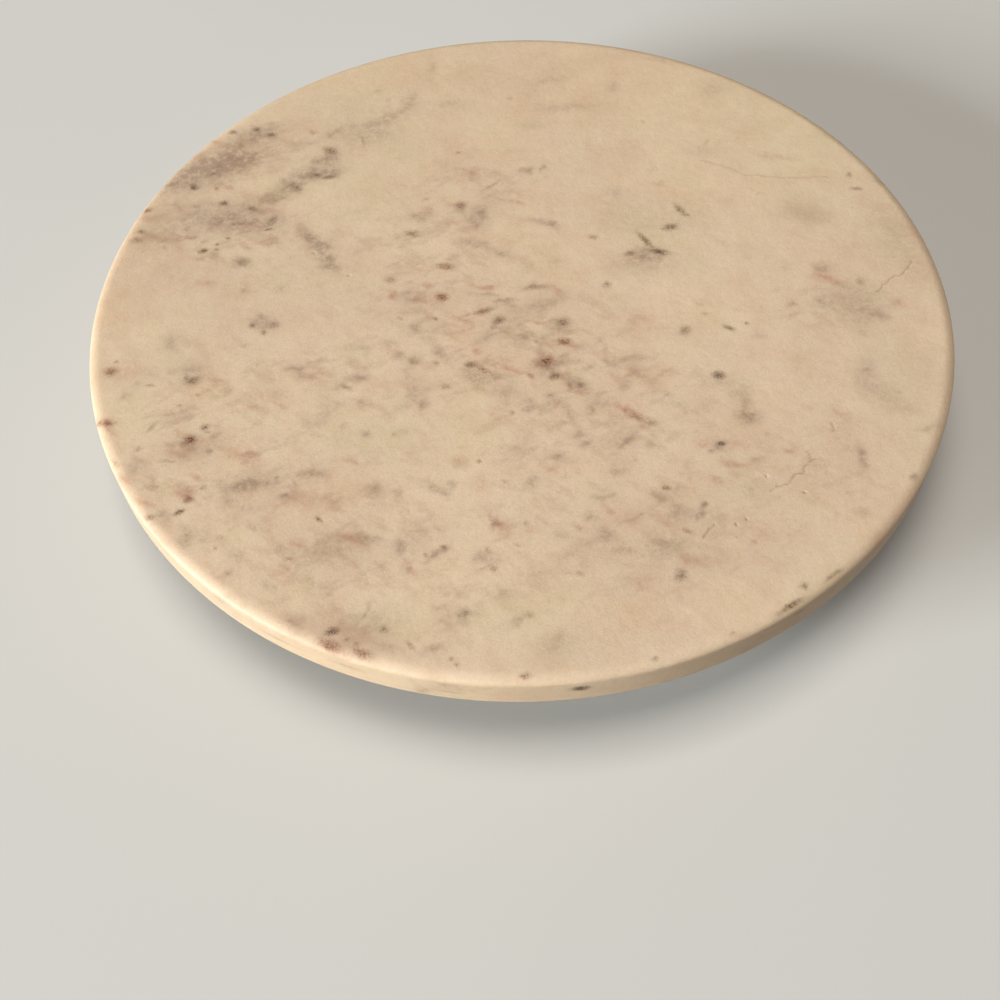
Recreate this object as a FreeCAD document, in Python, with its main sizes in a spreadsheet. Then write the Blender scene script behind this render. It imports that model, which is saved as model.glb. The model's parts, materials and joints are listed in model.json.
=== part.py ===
"""Lazy susan turntable: a round marble top that spins on a second, smaller marble disc.

Frame: origin on the table surface under the spin axis, +Z up the spin axis. Millimetres.

From the table up:
  four rubber feet, the base disc, the lower bearing plate (all held together by four base
  screws), a ring of balls in a cage with a pivot rivet at its centre, the upper bearing plate,
  and the turntable top, whose blind holes hold four anchors for the top screws.
"""
import FreeCAD, Part
import math
import os
import Sketcher

# alias, value in millimetres (or a count), what it is
DIMENSIONS = [
    ("TopDiameter", 305.0, "turntable top, across"),
    ("SlabThickness", 13.0, "thickness of both marble discs"),
    ("TopArris", 2.5, "rounding of the top's upper edge"),
    ("UnderArris", 1.2, "rounding of every other marble edge"),
    ("BaseDiameter", 195.0, "base disc, across"),
    ("BaseHoleDiameter", 6.0, "screw hole through the base disc"),
    ("FootHeight", 9.0, "rubber foot"),
    ("FootTopDiameter", 27.0, "rubber foot against the base disc"),
    ("FootBottomDiameter", 22.0, "rubber foot on the table"),
    ("FootEdge", 1.2, "rounding of the foot's lower edge"),
    ("FootWall", 3.0, "rubber between the washer and the base disc"),
    ("FootCounterbore", 13.0, "recess for the screw head, across"),
    ("FootHole", 5.6, "screw hole through the foot, across"),
    ("BearingHeight", 9.7, "from the base disc to the turntable top"),
    ("PlateSide", 130.0, "side of each square bearing plate"),
    ("PlateThickness", 1.5, "sheet thickness of the bearing plates"),
    ("PlateCorner", 14.0, "corner radius of the bearing plates"),
    ("HoleOffset", 55.0, "screw axes in X and in Y from the spin axis"),
    ("EmbossRadius", 62.0, "foot of the pressed step"),
    ("EmbossSlope", 2.0, "radial width of the pressed step"),
    ("EmbossHeight", 1.5, "rise of the pressed step"),
    ("TappedHole", 5.0, "tapped hole in the lower plate, across"),
    ("CollarDiameter", 8.0, "collar drawn up round each tapped hole, across"),
    ("CollarHeight", 1.5, "collar above the lower plate"),
    ("PlateScrewHole", 4.8, "screw hole in the upper plate, across"),
    ("BallDiameter", 6.0, "steel ball"),
    ("BallCircle", 104.0, "circle of the ball centres, across"),
    ("BallPlay", 0.05, "gap between a ball and each race"),
    ("RaceRadius", 3.2, "section radius of the ball races"),
    ("BallCount", 20, "balls in the bearing"),
    ("CageThickness", 2.2, "ball cage"),
    ("CageWidth", 11.0, "radial width of the ball cage"),
    ("CagePlay", 0.15, "gap between a ball and its pocket"),
    ("RivetDiameter", 12.0, "hollow pivot rivet, across"),
    ("RivetBore", 9.0, "hole through the rivet"),
    ("RivetHead", 18.0, "rivet flange above the upper plate, across"),
    ("RivetHeadHeight", 1.0, "rivet flange above the upper plate"),
    ("RivetRoll", 17.0, "rolled end of the rivet, across"),
    ("RivetRollHeight", 0.6, "rolled end of the rivet"),
    ("RivetFit", 0.05, "radial running clearance round the rivet"),
    ("PivotPlay", 0.2, "end play of the pivot"),
    ("BushDiameter", 16.0, "nylon pivot bush, across"),
    ("RivetWasherDiameter", 20.0, "washer over the rolled end, across"),
    ("RivetWasherThickness", 0.5, "washer over the rolled end"),
    ("AnchorDiameter", 7.0, "nylon anchor and its blind hole, across"),
    ("AnchorLength", 9.0, "nylon anchor"),
    ("AnchorHoleDepth", 9.5, "blind hole in the turntable top"),
    ("AnchorBore", 4.3, "hole through the anchor"),
    ("TopScrewShank", 4.2, "top screw, across its thread"),
    ("TopScrewLength", 9.5, "top screw under its head"),
    ("TopScrewHead", 8.0, "top screw head, across"),
    ("TopScrewHeadHeight", 2.3, "top screw head"),
    ("BaseScrewShank", 4.9, "base screw, across its thread"),
    ("BaseScrewLength", 20.0, "base screw under its head"),
    ("BaseScrewHead", 10.0, "base screw head, across"),
    ("BaseScrewHeadHeight", 2.8, "base screw head"),
    ("ScrewHeadEdge", 1.1, "rounding of both screw heads"),
    ("DriveWidth", 5.0, "cross recess, tip to tip"),
    ("DriveSlot", 1.1, "cross recess, slot width"),
    ("DriveDepth", 1.6, "cross recess, depth"),
    ("FootWasherDiameter", 12.0, "washer in each foot, across"),
    ("FootWasherThickness", 1.0, "washer in each foot"),
    ("FootWasherHole", 5.3, "hole through the foot washer, across"),
]

# The four screw axes, as signs of X and Y, with the name of the foot on each.
CORNERS = [("front_left", -1, -1), ("front_right", 1, -1), ("back_right", 1, 1), ("back_left", -1, 1)]
SCREWS = len(CORNERS)

# Heights of the levels where pieces meet, as expressions on the sheet.
BASE_UNDER = "Dim.FootHeight"
BASE_TOP = "(Dim.FootHeight + Dim.SlabThickness)"
TOP_UNDER = "(Dim.FootHeight + Dim.SlabThickness + Dim.BearingHeight)"
BALL_LEVEL = "(Dim.FootHeight + Dim.SlabThickness + Dim.BearingHeight / 2)"
PLATE_FACE = "(Dim.EmbossHeight + Dim.PlateThickness)"

doc = FreeCAD.newDocument("LazySusan")


def make_sheet():
    """The driving dimensions, one row each: alias, number, meaning."""
    sheet = doc.addObject("Spreadsheet::Sheet", "Dim")
    for row, (alias, value, meaning) in enumerate(DIMENSIONS, start=1):
        sheet.set(f"A{row}", alias)
        sheet.set(f"B{row}", str(value))
        sheet.set(f"C{row}", meaning)
        sheet.setAlias(f"B{row}", alias)
    doc.recompute()
    return sheet


sheet = make_sheet()


def value(expression):
    """The number that an expression on the sheet gives."""
    result = sheet.evalExpression(expression)
    return float(getattr(result, "Value", result))


def new_body(label):
    body = doc.addObject("PartDesign::Body", label)
    body.Label = label
    return body


def origin_plane(body, role):
    return next(item for item in body.Origin.OriginFeatures if item.Role == role)


def new_sketch(body, name, plane):
    """An empty sketch on one of the body's own origin planes."""
    sketch = body.newObject("Sketcher::SketchObject", f"{body.Name}_{name}")
    sketch.AttachmentSupport = (origin_plane(body, plane), [""])
    sketch.MapMode = "FlatFace"
    return sketch


def bind(sketch, constraint, name, expression):
    """Add a dimension to a sketch and tie it to the sheet."""
    index = sketch.addConstraint(constraint)
    sketch.renameConstraint(index, name)
    sketch.setExpression(f"Constraints.{name}", expression)


def locate(sketch, name, geometry, point, x, y):
    """Place one point of a sketch by its distances from the sketch's origin."""
    across = Sketcher.Constraint("DistanceX", -1, 1, geometry, point, value(x))
    upward = Sketcher.Constraint("DistanceY", -1, 1, geometry, point, value(y))
    bind(sketch, across, f"{name}_x", x)
    bind(sketch, upward, f"{name}_y", y)


def circle_sketch(body, name, diameter, x="0", y="0"):
    """A circle on the XY plane."""
    sketch = new_sketch(body, name, "XY_Plane")
    centre = FreeCAD.Vector(value(x), value(y), 0)
    up = FreeCAD.Vector(0, 0, 1)
    circle = sketch.addGeometry(Part.Circle(centre, up, value(diameter) / 2), False)
    locate(sketch, "centre", circle, 3, x, y)
    bind(sketch, Sketcher.Constraint("Diameter", circle, value(diameter)), "across", diameter)
    return sketch


def square_sketch(body, name, side):
    """A square on the XY plane, centred on the origin."""
    sketch = new_sketch(body, name, "XY_Plane")
    half = value(side) / 2
    corners = [FreeCAD.Vector(sx * half, sy * half, 0) for _, sx, sy in CORNERS]
    for index, corner in enumerate(corners):
        following = corners[(index + 1) % len(corners)]
        sketch.addGeometry(Part.LineSegment(corner, following), False)
    for index in range(len(corners)):
        sketch.addConstraint(Sketcher.Constraint("Coincident", index, 2, (index + 1) % 4, 1))
    for bottom_or_top in (0, 2):
        sketch.addConstraint(Sketcher.Constraint("Horizontal", bottom_or_top))
    for side_line in (1, 3):
        sketch.addConstraint(Sketcher.Constraint("Vertical", side_line))
    sketch.addConstraint(Sketcher.Constraint("Symmetric", 0, 1, 2, 1, -1, 1))
    bind(sketch, Sketcher.Constraint("DistanceX", 0, 1, 0, 2, 2 * half), "width", side)
    bind(sketch, Sketcher.Constraint("DistanceY", 1, 1, 1, 2, 2 * half), "depth", side)
    return sketch


def outline_sketch(body, name, corners):
    """A closed outline of straight lines on the XZ plane, from (radius, height) expressions."""
    sketch = new_sketch(body, name, "XZ_Plane")
    points = [FreeCAD.Vector(value(x), value(y), 0) for x, y in corners]
    for index, point in enumerate(points):
        following = points[(index + 1) % len(points)]
        sketch.addGeometry(Part.LineSegment(point, following), False)
    for index, (x, y) in enumerate(corners):
        before = (index - 1) % len(corners)
        sketch.addConstraint(Sketcher.Constraint("Coincident", before, 2, index, 1))
        locate(sketch, f"corner{index}", index, 1, x, y)
    return sketch


def cup_sketch(body, name, radius, centre_x, centre_y, chord_y):
    """The part of a circle below a level chord, which is under its centre, on the XZ plane."""
    sketch = new_sketch(body, name, "XZ_Plane")
    r, cx, cy, level = (value(item) for item in (radius, centre_x, centre_y, chord_y))
    half = math.sqrt(r * r - (level - cy) ** 2)
    start = math.atan2(level - cy, -half)
    end = math.atan2(level - cy, half)
    circle = Part.Circle(FreeCAD.Vector(cx, cy, 0), FreeCAD.Vector(0, 0, 1), r)
    arc = sketch.addGeometry(Part.ArcOfCircle(circle, start, end), False)
    left, right = FreeCAD.Vector(cx - half, level, 0), FreeCAD.Vector(cx + half, level, 0)
    chord = sketch.addGeometry(Part.LineSegment(right, left), False)
    sketch.addConstraint(Sketcher.Constraint("Coincident", arc, 2, chord, 1))
    sketch.addConstraint(Sketcher.Constraint("Coincident", chord, 2, arc, 1))
    sketch.addConstraint(Sketcher.Constraint("Horizontal", chord))
    locate(sketch, "centre", arc, 3, centre_x, centre_y)
    bind(sketch, Sketcher.Constraint("Radius", arc, r), "round", radius)
    bind(sketch, Sketcher.Constraint("DistanceY", -1, 1, chord, 1, level), "chord", chord_y)
    return sketch


def pad(body, name, sketch, height):
    feature = body.newObject("PartDesign::Pad", f"{body.Name}_{name}")
    feature.Profile = sketch
    feature.setExpression("Length", height)
    doc.recompute()
    return feature


def require_less(body, volume_before, feature):
    """A cut that misses the solid raises no error of its own."""
    if body.Shape.Volume >= volume_before:
        raise RuntimeError(f"{feature.Name} removed nothing")


def pocket(body, name, sketch, depth):
    """Cut upwards from the sketch's plane, which is against a pocket's usual direction."""
    volume_before = body.Shape.Volume
    feature = body.newObject("PartDesign::Pocket", f"{body.Name}_{name}")
    feature.Profile = sketch
    feature.Reversed = True
    feature.setExpression("Length", depth)
    doc.recompute()
    require_less(body, volume_before, feature)
    return feature


def turned(body, name, kind, sketch):
    """A Revolution or a Groove about the body's Z axis."""
    volume_before = body.Shape.Volume if body.Tip else 0
    feature = body.newObject(f"PartDesign::{kind}", f"{body.Name}_{name}")
    feature.Profile = sketch
    feature.ReferenceAxis = (sketch, ["V_Axis"])
    feature.Angle = 360
    doc.recompute()
    if kind == "Groove":
        require_less(body, volume_before, feature)
    return feature


def around(body, name, feature, count):
    """Repeat a feature evenly round the body's Z axis."""
    pattern = body.newObject("PartDesign::PolarPattern", f"{body.Name}_{name}")
    pattern.Originals = [feature]
    pattern.Axis = (origin_plane(body, "Z_Axis"), [""])
    pattern.Angle = 360
    pattern.setExpression("Occurrences", str(count))
    body.Tip = pattern
    doc.recompute()
    return pattern


def rounded(body, name, feature, radius, chosen):
    """Fillet the edges of a feature for which chosen(edge) is true."""
    edges = enumerate(feature.Shape.Edges, start=1)
    names = [f"Edge{number}" for number, edge in edges if chosen(edge)]
    fillet = body.newObject("PartDesign::Fillet", f"{body.Name}_{name}")
    fillet.Base = (feature, names)
    fillet.setExpression("Radius", radius)
    doc.recompute()
    return fillet


def rim_at(diameter, level):
    """Chooses the full circle of a diameter at a height."""
    def chosen(edge):
        if not isinstance(edge.Curve, Part.Circle) or not edge.isClosed():
            return False
        same_size = abs(edge.Curve.Radius - value(diameter) / 2) < 1e-6
        return same_size and abs(edge.Curve.Center.z - value(level)) < 1e-6
    return chosen


def upright_at(distance):
    """Chooses the upright edges that stand at one distance in X and in Y from the axis."""
    def chosen(edge):
        middle = edge.CenterOfMass
        return all(abs(abs(part) - distance) < 1e-6 for part in (middle.x, middle.y))
    return chosen


def put(piece, x="0", y="0", z="0"):
    """Tie a piece's place to the sheet."""
    for axis, expression in (("x", x), ("y", y), ("z", z)):
        piece.setExpression(f".Placement.Base.{axis}", expression)
    return piece


def put_at_corner(piece, corner, z):
    _, sign_x, sign_y = corner
    return put(piece, f"{sign_x} * Dim.HoleOffset", f"{sign_y} * Dim.HoleOffset", z)


def marble_disc(label, diameter, upper_arris):
    """A slab with its rim rounded above and below, before its holes."""
    body = new_body(label)
    slab = pad(body, "slab", circle_sketch(body, "rim", diameter), "Dim.SlabThickness")
    upper = rounded(body, "upper_arris", slab, upper_arris, rim_at(diameter, "Dim.SlabThickness"))
    rounded(body, "lower_arris", upper, "Dim.UnderArris", rim_at(diameter, "0"))
    return body


def corner_holes(body, diameter, depth):
    """A hole on each screw axis, cut upwards from the body's underside."""
    sketch = circle_sketch(body, "hole", diameter, "Dim.HoleOffset", "Dim.HoleOffset")
    return around(body, "holes", pocket(body, "cut", sketch, depth), SCREWS)


def turntable_top():
    body = marble_disc("turntable_top", "Dim.TopDiameter", "Dim.TopArris")
    corner_holes(body, "Dim.AnchorDiameter", "Dim.AnchorHoleDepth")
    return put(body, z=TOP_UNDER)


def base_disc():
    body = marble_disc("base_disc", "Dim.BaseDiameter", "Dim.UnderArris")
    corner_holes(body, "Dim.BaseHoleDiameter", "Dim.SlabThickness")
    return put(body, z=BASE_UNDER)


def bearing_plate(label, pivot_hole):
    """A pressed square plate, lying with its flange on Z = 0 and its race facing up.

    Inside EmbossRadius the sheet is pressed up by EmbossHeight, and the race is pressed
    back down into that raised face, so both faces of the sheet follow it.
    """
    body = new_body(label)
    flange = pad(body, "flange", square_sketch(body, "square", "Dim.PlateSide"), "Dim.PlateThickness")
    rounded(body, "corners", flange, "Dim.PlateCorner", upright_at(value("Dim.PlateSide") / 2))
    pocket(body, "opening", circle_sketch(body, "step", "2 * Dim.EmbossRadius"), "Dim.PlateThickness")

    inner = "Dim.EmbossRadius - Dim.EmbossSlope"
    hat = outline_sketch(body, "hat", [
        ("Dim.EmbossRadius", "0"),
        ("Dim.EmbossRadius", "Dim.PlateThickness"),
        (inner, PLATE_FACE),
        (pivot_hole, PLATE_FACE),
        (pivot_hole, "Dim.EmbossHeight"),
        (inner, "Dim.EmbossHeight"),
    ])
    turned(body, "raised_face", "Revolution", hat)

    race_x = "Dim.BallCircle / 2"
    race_z = "Dim.BearingHeight / 2 - Dim.BallDiameter / 2 - Dim.BallPlay + Dim.RaceRadius"
    outer_round = "Dim.RaceRadius + Dim.PlateThickness"
    inside_sheet = "Dim.EmbossHeight + Dim.PlateThickness / 2"
    bulge = cup_sketch(body, "bulge", outer_round, race_x, race_z, inside_sheet)
    turned(body, "race_back", "Revolution", bulge)
    above_sheet = f"{PLATE_FACE} + Dim.EmbossHeight"
    hollow = cup_sketch(body, "hollow", "Dim.RaceRadius", race_x, race_z, above_sheet)
    turned(body, "race", "Groove", hollow)
    return body


def lower_plate():
    """The plate on the base disc, with a collar drawn up round each of its tapped holes."""
    body = bearing_plate("lower_plate", "Dim.RivetDiameter / 2 + 2 * Dim.RivetFit")
    ring = circle_sketch(body, "collar", "Dim.CollarDiameter", "Dim.HoleOffset", "Dim.HoleOffset")
    collar = pad(body, "drawn_collar", ring, "Dim.PlateThickness + Dim.CollarHeight")
    around(body, "collars", collar, SCREWS)
    corner_holes(body, "Dim.TappedHole", "Dim.PlateThickness + Dim.CollarHeight")
    return put(body, z=BASE_TOP)


def upper_plate():
    """The plate under the turntable top: the same pressing, face down."""
    body = bearing_plate("upper_plate", "Dim.RivetDiameter / 2")
    corner_holes(body, "Dim.PlateScrewHole", "Dim.PlateThickness")
    face_down = FreeCAD.Rotation(FreeCAD.Vector(1, 0, 0), 180)
    body.Placement = FreeCAD.Placement(FreeCAD.Vector(), face_down)
    return put(body, z=TOP_UNDER)


def ball_cage():
    """A flat ring with a round pocket for each ball."""
    body = new_body("ball_cage")
    outer = circle_sketch(body, "outside", "Dim.BallCircle + Dim.CageWidth")
    pad(body, "ring", outer, "Dim.CageThickness")
    inner = circle_sketch(body, "inside", "Dim.BallCircle - Dim.CageWidth")
    pocket(body, "middle", inner, "Dim.CageThickness")
    seat = circle_sketch(body, "seat", "Dim.BallDiameter + 2 * Dim.CagePlay", "Dim.BallCircle / 2")
    around(body, "pockets", pocket(body, "pocket", seat, "Dim.CageThickness"), "Dim.BallCount")
    return put(body, z=f"{BALL_LEVEL} - Dim.CageThickness / 2")


def ball(number):
    """One of the balls, evenly spaced round the race, the first on +X."""
    sphere = doc.addObject("Part::Sphere", f"ball_{number:02d}")
    sphere.Label = sphere.Name
    sphere.setExpression("Radius", "Dim.BallDiameter / 2")
    turn = f"{number - 1} * 360 deg / Dim.BallCount"
    across, along = (f"Dim.BallCircle / 2 * {part}({turn})" for part in ("cos", "sin"))
    return put(sphere, across, along, BALL_LEVEL)


def pivot_rivet():
    """The hollow rivet that holds the plates together: it turns with the upper plate."""
    body = new_body("pivot_rivet")
    upper_face = f"{TOP_UNDER} - Dim.EmbossHeight"
    lower_face = f"{BASE_TOP} + Dim.EmbossHeight - Dim.PivotPlay - Dim.RivetWasherThickness"
    end = f"{lower_face} - Dim.RivetRollHeight"
    turned(body, "rivet", "Revolution", outline_sketch(body, "section", [
        ("Dim.RivetBore / 2", end),
        ("Dim.RivetRoll / 2", end),
        ("Dim.RivetRoll / 2", lower_face),
        ("Dim.RivetDiameter / 2", lower_face),
        ("Dim.RivetDiameter / 2", upper_face),
        ("Dim.RivetHead / 2", upper_face),
        ("Dim.RivetHead / 2", f"{upper_face} + Dim.RivetHeadHeight"),
        ("Dim.RivetBore / 2", f"{upper_face} + Dim.RivetHeadHeight"),
    ]))
    return body


def ring(label, outside, inside, thickness, z):
    """A flat washer or a plain bush on the spin axis."""
    body = new_body(label)
    pad(body, "disc", circle_sketch(body, "outside", outside), thickness)
    pocket(body, "hole", circle_sketch(body, "inside", inside), thickness)
    return put(body, z=z)


def pivot_bush():
    """Keeps the rivet central on the lower plate, and stops just short of the upper one."""
    gap = f"Dim.BearingHeight - 2 * {PLATE_FACE} - Dim.PivotPlay"
    bore = "Dim.RivetDiameter + 2 * Dim.RivetFit"
    return ring("pivot_bush", "Dim.BushDiameter", bore, gap, f"{BASE_TOP} + {PLATE_FACE}")


def rivet_washer():
    level = f"{BASE_TOP} + Dim.EmbossHeight - Dim.PivotPlay - Dim.RivetWasherThickness"
    thickness = "Dim.RivetWasherThickness"
    return ring("rivet_washer", "Dim.RivetWasherDiameter", "Dim.RivetDiameter", thickness, level)


def foot(corner):
    """A tapered rubber foot with a recess for its washer and screw head."""
    body = new_body(f"foot_{corner[0]}")
    shelf = "Dim.FootHeight - Dim.FootWall"
    whole = turned(body, "form", "Revolution", outline_sketch(body, "section", [
        ("Dim.FootCounterbore / 2", "0"),
        ("Dim.FootBottomDiameter / 2", "0"),
        ("Dim.FootTopDiameter / 2", "Dim.FootHeight"),
        ("Dim.FootHole / 2", "Dim.FootHeight"),
        ("Dim.FootHole / 2", shelf),
        ("Dim.FootCounterbore / 2", shelf),
    ]))
    rounded(body, "lower_edge", whole, "Dim.FootEdge", rim_at("Dim.FootBottomDiameter", "0"))
    return put_at_corner(body, corner, "0")


def drive_slot(body, name, along_x, along_y, head_height):
    """One of the two slots of a cross recess, cut into the underside of a screw head."""
    volume_before = body.Shape.Volume
    slot = body.newObject("PartDesign::SubtractiveBox", f"{body.Name}_{name}")
    slot.setExpression("Length", along_x)
    slot.setExpression("Width", along_y)
    slot.setExpression("Height", "Dim.DriveDepth")
    slot.AttachmentSupport = (origin_plane(body, "XY_Plane"), [""])
    slot.MapMode = "FlatFace"
    slot.setExpression(".AttachmentOffset.Base.x", f"-{along_x} / 2")
    slot.setExpression(".AttachmentOffset.Base.y", f"-{along_y} / 2")
    slot.setExpression(".AttachmentOffset.Base.z", f"-{head_height}")
    doc.recompute()
    require_less(body, volume_before, slot)


def screw(label, corner, head, head_height, shank, length, z):
    """A pan-head screw, head down, its head's bearing face at z, with a cross recess."""
    body = new_body(f"{label}_{corner[0]}")
    whole = turned(body, "form", "Revolution", outline_sketch(body, "section", [
        ("0", f"-{head_height}"),
        (f"{head} / 2", f"-{head_height}"),
        (f"{head} / 2", "0"),
        (f"{shank} / 2", "0"),
        (f"{shank} / 2", f"{length} - {shank} / 4"),
        (f"{shank} / 4", length),
        ("0", length),
    ]))
    below_head = rim_at(head, f"-{head_height}")
    rounded(body, "head_edge", whole, "Dim.ScrewHeadEdge", below_head)
    drive_slot(body, "slot", "Dim.DriveWidth", "Dim.DriveSlot", head_height)
    drive_slot(body, "cross", "Dim.DriveSlot", "Dim.DriveWidth", head_height)
    return put_at_corner(body, corner, z)


def base_screw(corner):
    level = "Dim.FootHeight - Dim.FootWall - Dim.FootWasherThickness"
    return screw("base_screw", corner, "Dim.BaseScrewHead", "Dim.BaseScrewHeadHeight",
                 "Dim.BaseScrewShank", "Dim.BaseScrewLength", level)


def top_screw(corner):
    level = f"{TOP_UNDER} - Dim.PlateThickness"
    return screw("top_screw", corner, "Dim.TopScrewHead", "Dim.TopScrewHeadHeight",
                 "Dim.TopScrewShank", "Dim.TopScrewLength", level)


def foot_washer(corner):
    level = "Dim.FootHeight - Dim.FootWall - Dim.FootWasherThickness"
    piece = ring(f"foot_washer_{corner[0]}", "Dim.FootWasherDiameter", "Dim.FootWasherHole",
                 "Dim.FootWasherThickness", level)
    return put_at_corner(piece, corner, level)


def screw_anchor(corner):
    piece = ring(f"screw_anchor_{corner[0]}", "Dim.AnchorDiameter", "Dim.AnchorBore",
                 "Dim.AnchorLength", TOP_UNDER)
    return put_at_corner(piece, corner, TOP_UNDER)


def one_at_each_corner(label, make):
    """Four equal pieces, one on each screw axis, kept together as separate solids."""
    group = doc.addObject("Part::Compound", label)
    group.Label = label
    group.Links = [make(corner) for corner in CORNERS]
    return group


def build():
    pieces = [turntable_top(), base_disc(), upper_plate(), lower_plate()]
    pieces += [ball_cage(), pivot_rivet(), pivot_bush(), rivet_washer()]
    pieces += [foot(corner) for corner in CORNERS]
    pieces += [
        one_at_each_corner("base_screws", base_screw),
        one_at_each_corner("foot_washers", foot_washer),
        one_at_each_corner("top_screws", top_screw),
        one_at_each_corner("screw_anchors", screw_anchor),
    ]
    balls = int(value("Dim.BallCount"))
    pieces += [ball(number) for number in range(1, balls + 1)]
    doc.recompute()
    return pieces


def check(pieces):
    """Stop before anything is written if a feature failed or a shape is not sound."""
    for item in doc.Objects:
        if {"Invalid", "Error"} & set(item.State):
            raise RuntimeError(f"{item.Name} did not build: {item.State}")
    for piece in pieces:
        shape = piece.Shape
        if shape.isNull() or not shape.isValid() or shape.Volume <= 0:
            raise RuntimeError(f"{piece.Label} has no sound solid")


def write(pieces):
    os.makedirs("parts", exist_ok=True)
    for piece in pieces:
        piece.Shape.exportStep(os.path.join("parts", f"{piece.Label}.step"))
        print(f"{piece.Label:18s} solids {len(piece.Shape.Solids)}  {piece.Shape.Volume:10.1f} mm3")


built = build()
check(built)
write(built)
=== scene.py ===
"""The looks of the marble lazy susan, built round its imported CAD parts. Metres, Z up.

The two marble discs, the rubber feet and both sets of screws get detailed meshes of their own.
The pressed plates, rivet, washers, bush, cage, balls and anchors keep their CAD shapes and get
finished materials.
"""
import json
import math
import random

import bmesh
import bpy
import numpy as np
from mathutils import Matrix, Vector, geometry, noise


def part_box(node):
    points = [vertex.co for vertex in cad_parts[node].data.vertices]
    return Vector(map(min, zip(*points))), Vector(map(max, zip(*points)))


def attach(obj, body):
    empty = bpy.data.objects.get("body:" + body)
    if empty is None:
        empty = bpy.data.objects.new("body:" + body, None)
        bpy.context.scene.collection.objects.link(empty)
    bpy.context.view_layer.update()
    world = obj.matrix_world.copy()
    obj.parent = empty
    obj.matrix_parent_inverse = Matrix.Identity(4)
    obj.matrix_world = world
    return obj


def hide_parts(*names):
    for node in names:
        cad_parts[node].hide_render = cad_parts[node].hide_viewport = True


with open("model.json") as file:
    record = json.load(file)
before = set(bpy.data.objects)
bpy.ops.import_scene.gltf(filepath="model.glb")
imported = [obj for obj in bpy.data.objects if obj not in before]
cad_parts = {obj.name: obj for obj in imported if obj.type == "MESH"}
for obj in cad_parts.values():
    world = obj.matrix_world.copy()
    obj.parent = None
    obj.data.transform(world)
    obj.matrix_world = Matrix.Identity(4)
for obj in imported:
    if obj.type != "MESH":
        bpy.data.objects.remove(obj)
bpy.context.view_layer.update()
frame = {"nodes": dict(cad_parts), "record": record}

MM = 0.001
CORNER_NAMES = ("front_left", "front_right", "back_right", "back_left")

# Marble discs
TOP_ARRIS = (4 * MM, 2 * MM)  # how far the rounding reaches inwards and down
UNDER_ARRIS = (1.2 * MM, 1.2 * MM)
SKIN = 0.02 * MM  # the detailed meshes stay this far inside the CAD faces
TOP_CELLS = 200  # cells across the grid of the turntable's upper face
BASE_CELLS = 64
HOLE_SIDES = 32
SLAB = 12.9  # mm; what lies deeper than this under the upper face is the underside

# Screw holes in the marble, as in the CAD: centres at +-HOLE_OFFSET in X and Y
HOLE_OFFSET = 55 * MM
ANCHOR_HOLE = (3.5 * MM, 9.5 * MM)  # radius, depth
BASE_HOLE_RADIUS = 3 * MM

# Machine screws in the base, self-tapping ones in the top
BASE_SCREW = {"head_radius": 5 * MM, "head_height": 2.8 * MM, "radius": 2.43 * MM,
              "pitch": .8 * MM, "depth": .4 * MM}
TOP_SCREW = {"head_radius": 4 * MM, "head_height": 2.3 * MM, "radius": 2.08 * MM,
             "pitch": 1.4 * MM, "depth": .5 * MM}

FOOT_SOLE_RADIUS = 11 * MM
FLOOR_RADIUS = 2.5


# ---------------------------------------------------------------- marks in the stone
# The natural marks in the turntable's upper face. Millimetres from the spin axis: x, y, half
# length, half width, turn in degrees, strength.

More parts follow.
